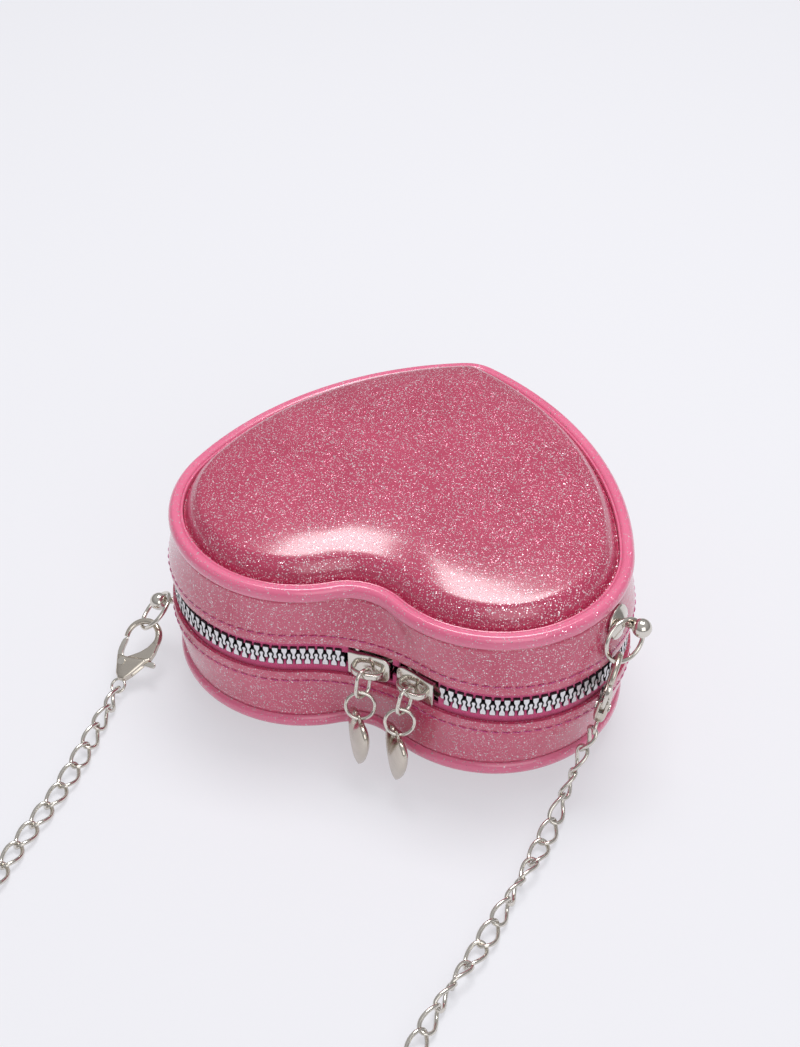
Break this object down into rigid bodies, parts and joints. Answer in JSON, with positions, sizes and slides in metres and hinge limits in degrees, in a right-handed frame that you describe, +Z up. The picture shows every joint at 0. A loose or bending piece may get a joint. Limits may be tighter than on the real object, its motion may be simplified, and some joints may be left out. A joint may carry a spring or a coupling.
{
  "type": "heart shaped purse",
  "caption": "Small heart shaped zip purse in glitter vinyl with domed panels, heart charm pulls and a clip-on metal chain strap.",
  "frame": {"origin": "on the floor at the centre of the resting face, under the middle of the line between the two lobe centres", "axes": "+X across the lobes to the wearer's right as the cleft faces the viewer, +Y from the cleft to the tip, +Z up from the lower dome to the front dome"},
  "size_m": [0.1645, 0.3314, 0.0732],
  "materials": {
    "glitter_vinyl": "glossy vinyl full of silver glitter",
    "clear_vinyl": "smooth glossy vinyl with sparse glitter",
    "wall_vinyl": "soft translucent vinyl with glitter",
    "thread": "twisted sewing thread",
    "zip_tape": "woven tape",
    "zip_teeth": "moulded teeth with silver foil faces and dark sides",
    "slider_metal": "polished nickel",
    "pull_metal": "polished nickel",
    "stud_metal": "polished nickel",
    "strap_metal": "polished nickel",
    "spring_steel": "bare spring steel",
    "strap_chain": "bright plated curb links"
  },
  "bodies": {
    "base": {"back_panel": "glitter_vinyl", "back_rim": "clear_vinyl", "lower_wall": "wall_vinyl", "lower_stitching": "thread", "lower_tape": "zip_tape", "lower_teeth": "zip_teeth", "hinge_strip": "clear_vinyl", "zip_end_stops": "zip_teeth", "stud_cone_left": "stud_metal", "stud_post_left": "stud_metal", "stud_nut_left": "stud_metal", "chain_run_left": "strap_chain", "chain_coil": "strap_chain", "chain_run_right": "strap_chain"},
    "lid": {"front_panel": "glitter_vinyl", "front_rim": "clear_vinyl", "upper_wall": "wall_vinyl", "upper_stitching": "thread", "upper_tape": "zip_tape", "upper_teeth": "zip_teeth", "stud_cone_right": "stud_metal", "stud_post_right": "stud_metal", "stud_nut_right": "stud_metal"},
    "slider_left": {"slider_left": "slider_metal"},
    "pull_link_left": {"pull_link_left": "pull_metal"},
    "pull_ring_left": {"pull_ring_left": "pull_metal"},
    "charm_left": {"charm_left": "pull_metal"},
    "slider_right": {"slider_right": "slider_metal"},
    "pull_link_right": {"pull_link_right": "pull_metal"},
    "pull_ring_right": {"pull_ring_right": "pull_metal"},
    "charm_right": {"charm_right": "pull_metal"},
    "o_ring_left": {"o_ring_left": "strap_metal"},
    "clasp_left": {"clasp_body_left": "strap_metal", "clasp_rivet_left": "strap_metal", "clasp_spring_left": "spring_steel"},
    "clasp_lever_left": {"clasp_lever_left": "strap_metal"},
    "o_ring_right": {"o_ring_right": "strap_metal"},
    "clasp_right": {"clasp_body_right": "strap_metal", "clasp_rivet_right": "strap_metal", "clasp_spring_right": "spring_steel"},
    "clasp_lever_right": {"clasp_lever_right": "strap_metal"}
  },
  "joints": [
    {"name": "lid_hinge", "type": "hinge", "parent": "base", "child": "lid", "pos_m": [0, 0.0825, 0.0366], "axis": [-1, 0, 0], "range_deg": [0, 60], "deforming": ["hinge_strip", "chain_run_right", "upper_teeth", "lower_teeth"]},
    {"name": "slider_left_travel", "type": "hinge", "parent": "base", "child": "slider_left", "pos_m": [0, -0.08389, 0.0366], "axis": [0, 0, 1], "range_deg": [0, 22], "deforming": ["upper_teeth", "lower_teeth", "upper_tape", "lower_tape"]},
    {"name": "pull_link_left_swing", "type": "hinge", "parent": "slider_left", "child": "pull_link_left", "pos_m": [0.00177, -0.03672, 0.0366], "axis": [-0.9993, 0.0376, 0], "range_deg": [0, 90]},
    {"name": "pull_ring_left_swing", "type": "hinge", "parent": "pull_link_left", "child": "pull_ring_left", "pos_m": [0.00169, -0.0391, 0.03007], "axis": [-0.4543, -0.8352, 0.31], "range_deg": [-22, 12]},
    {"name": "charm_left_swing", "type": "hinge", "parent": "pull_ring_left", "child": "charm_left", "pos_m": [0.00159, -0.04156, 0.0233], "axis": [-0.9613, -0.2544, 0.1057], "range_deg": [0, 60]},
    {"name": "slider_right_travel", "type": "hinge", "parent": "base", "child": "slider_right", "pos_m": [0.0326, 0, 0.0366], "axis": [0, 0, 1], "range_deg": [0, 45], "deforming": ["upper_teeth", "lower_teeth", "upper_tape", "lower_tape"]},
    {"name": "pull_link_right_swing", "type": "hinge", "parent": "slider_right", "child": "pull_link_right", "pos_m": [0.01567, -0.03936, 0.0366], "axis": [-0.9433, 0.3319, 0], "range_deg": [0, 90]},
    {"name": "pull_ring_right_swing", "type": "hinge", "parent": "pull_link_right", "child": "pull_ring_right", "pos_m": [0.01488, -0.04161, 0.03007], "axis": [-0.4245, -0.8394, 0.3395], "range_deg": [-22, 30]},
    {"name": "charm_right_swing", "type": "hinge", "parent": "pull_ring_right", "child": "charm_right", "pos_m": [0.01406, -0.04393, 0.0233], "axis": [-0.9516, -0.2365, 0.1962], "range_deg": [0, 60]},
    {"name": "o_ring_left_swing", "type": "hinge", "parent": "base", "child": "o_ring_left", "pos_m": [-0.06918, -0.00773, 0.0192], "axis": [-0.9622, -0.1957, -0.1895], "range_deg": [0, 60], "deforming": ["chain_run_left"]},
    {"name": "clasp_left_swing", "type": "hinge", "parent": "base", "child": "clasp_left", "pos_m": [-0.06918, -0.00773, 0.0192], "axis": [-0.9622, -0.1957, -0.1895], "range_deg": [0, 60], "deforming": ["chain_run_left"]},
    {"name": "clasp_left_lever", "type": "hinge", "parent": "clasp_left", "child": "clasp_lever_left", "pos_m": [-0.08158, -0.02807, 0.00658], "axis": [0.1065, 0.4719, -0.8752], "range_deg": [0, 25], "stiffness_Nm_per_rad": 0.004, "springref_deg": -20.05, "deforming": ["clasp_spring_left"]},
    {"name": "o_ring_right_swing", "type": "hinge", "parent": "lid", "child": "o_ring_right", "pos_m": [0.06873, -0.00971, 0.054], "axis": [0.951, -0.2459, 0.1873], "range_deg": [-40, 0], "deforming": ["chain_run_right"]},
    {"name": "clasp_right_swing", "type": "hinge", "parent": "lid", "child": "clasp_right", "pos_m": [0.06873, -0.00971, 0.054], "axis": [0.951, -0.2459, 0.1873], "range_deg": [-40, 0], "deforming": ["chain_run_right"]},
    {"name": "clasp_right_lever", "type": "hinge", "parent": "clasp_right", "child": "clasp_lever_right", "pos_m": [0.06979, -0.02513, 0.03503], "axis": [-0.9845, -0.0382, 0.1713], "range_deg": [0, 25], "stiffness_Nm_per_rad": 0.004, "springref_deg": -20.05, "deforming": ["clasp_spring_right"]}
  ],
  "couplings": [
    {"joint": "clasp_left_swing", "follows": "o_ring_left_swing", "ratio": 1},
    {"joint": "clasp_right_swing", "follows": "o_ring_right_swing", "ratio": 1}
  ]
}
